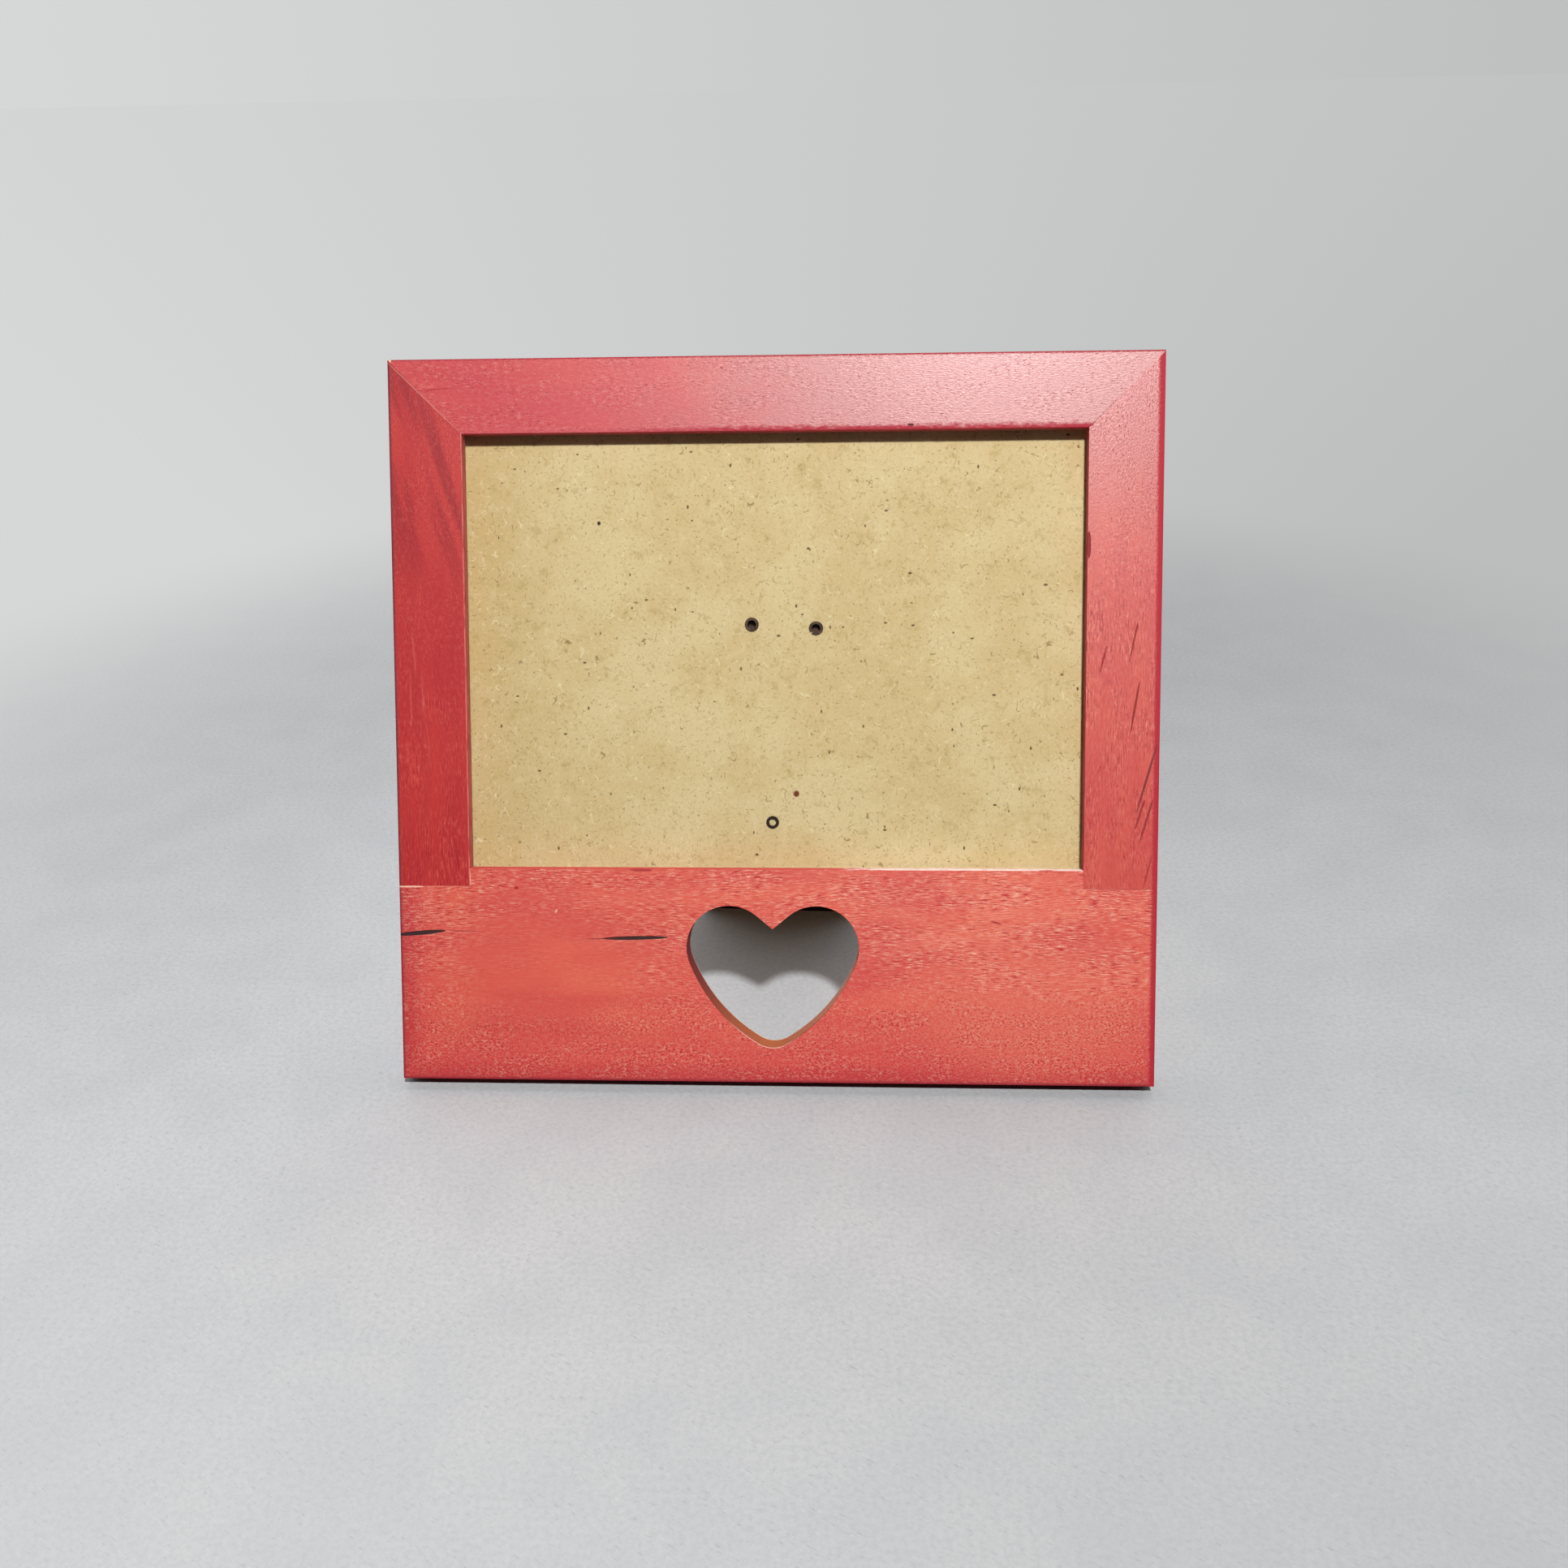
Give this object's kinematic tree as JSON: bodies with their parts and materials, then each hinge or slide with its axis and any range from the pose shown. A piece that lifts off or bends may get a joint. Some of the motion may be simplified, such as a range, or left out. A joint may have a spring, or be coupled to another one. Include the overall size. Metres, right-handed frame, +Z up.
{
  "type": "picture frame",
  "caption": "Free-standing landscape picture frame in red-stained wood with a heart cut through its wide bottom rail, leaning on a hinged easel leg.",
  "frame": {"origin": "on the surface that the frame stands on, under the middle of its box", "axes": "+X to the right as the frame is looked at, -Y towards the viewer, +Z up; the frame leans back 21.5 degrees with its leg open"},
  "size_m": [0.2118, 0.1044, 0.1907],
  "materials": {
    "red_wood": "red stain, open grain, satin",
    "red_wood_dark": "darker red stain, open grain, satin",
    "nail_steel": "plain",
    "glass": "clear float glass, ground edges",
    "fibreboard": "raw medium-density fibreboard",
    "dark_steel": "blackened, rubbed at the edges",
    "pale_steel": "zinc plated",
    "ribbon": "woven grosgrain",
    "black_board": "black painted hardboard"
  },
  "bodies": {
    "frame": {"top_rail": "red_wood", "left_stile": "red_wood_dark", "right_stile": "red_wood", "bottom_rail": "red_wood", "mitre_v_nails": "nail_steel", "shoulder_v_nails": "nail_steel", "glass_pane": "glass", "backing_board": "fibreboard", "hinge_board_leaf": "dark_steel", "hinge_pin": "pale_steel", "board_rivets": "dark_steel", "stay_board_rivet": "dark_steel", "stay_rivet_slug": "fibreboard", "stay_ribbon": "ribbon", "button_screws": "pale_steel"},
    "leg": {"easel_leg": "black_board", "hinge_leg_leaf": "dark_steel", "leg_rivets": "dark_steel", "stay_leg_rivet": "dark_steel"},
    "button_top_left": {"turn_button_top_left": "pale_steel"},
    "button_top_right": {"turn_button_top_right": "pale_steel"},
    "button_bottom_left": {"turn_button_bottom_left": "pale_steel"},
    "button_bottom_right": {"turn_button_bottom_right": "pale_steel"}
  },
  "joints": [
    {"name": "leg_hinge", "type": "hinge", "parent": "frame", "child": "leg", "pos_m": [0.0024, 0.00306, 0.11229], "axis": [0.9982, -0.0221, -0.056], "range_deg": [-43.2, 0], "deforming": ["stay_ribbon"]},
    {"name": "button_turn_top_left", "type": "hinge", "parent": "frame", "child": "button_top_left", "pos_m": [-0.055, 0.02714, 0.17778], "axis": [0, 0.9304, -0.3665], "continuous": true},
    {"name": "button_turn_top_right", "type": "hinge", "parent": "frame", "child": "button_top_right", "pos_m": [0.055, 0.02714, 0.17778], "axis": [0, 0.9304, -0.3665], "continuous": true},
    {"name": "button_turn_bottom_left", "type": "hinge", "parent": "frame", "child": "button_bottom_left", "pos_m": [-0.055, -0.02456, 0.04654], "axis": [0, 0.9304, -0.3665], "continuous": true},
    {"name": "button_turn_bottom_right", "type": "hinge", "parent": "frame", "child": "button_bottom_right", "pos_m": [0.055, -0.02456, 0.04654], "axis": [0, 0.9304, -0.3665], "continuous": true}
  ]
}
